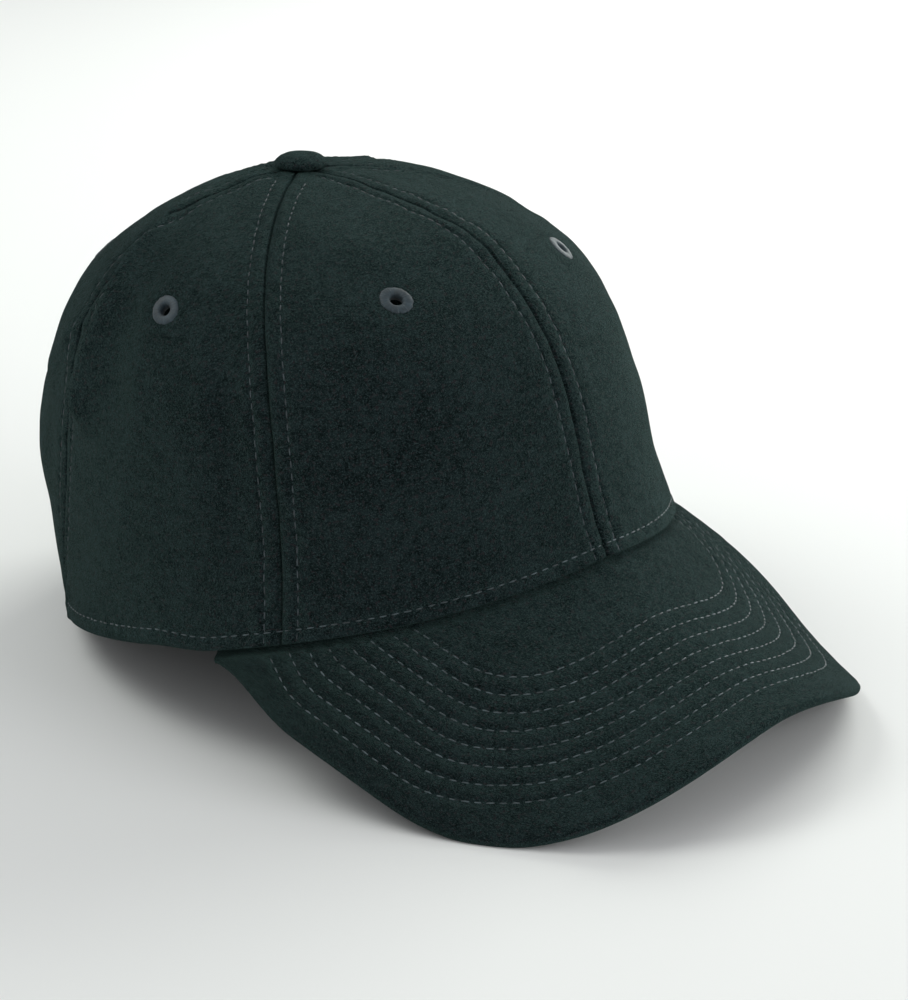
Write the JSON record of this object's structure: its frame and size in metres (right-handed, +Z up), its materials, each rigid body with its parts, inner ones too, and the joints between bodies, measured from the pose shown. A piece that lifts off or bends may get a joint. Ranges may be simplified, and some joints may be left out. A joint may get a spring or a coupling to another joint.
{
  "type": "peaked cap",
  "caption": "Felt baseball cap with a gored dome crown, a curved stitched peak, sewn eyelets and a covered button, open underneath for a head.",
  "frame": {"origin": "on the surface the cap rests on, under the middle of its outline seen from above", "axes": "+Z up from the resting surface, -Y towards the tip of the peak, +X towards the wearer's left"},
  "size_m": [0.175, 0.2544, 0.137],
  "materials": {
    "felt": "brushed wool felt",
    "peak_felt": "brushed wool felt over a stiff board",
    "thread": "satin sewing thread"
  },
  "bodies": {
    "root": {"panel_front_right": "felt", "panel_front_left": "felt", "panel_side_right": "felt", "panel_side_left": "felt", "panel_back_right": "felt", "panel_back_left": "felt", "peak": "peak_felt", "button": "felt", "eyelet_front_right": "thread", "eyelet_front_left": "thread", "eyelet_side_right": "thread", "eyelet_side_left": "thread", "eyelet_back_right": "thread", "eyelet_back_left": "thread"}
  },
  "joints": []
}
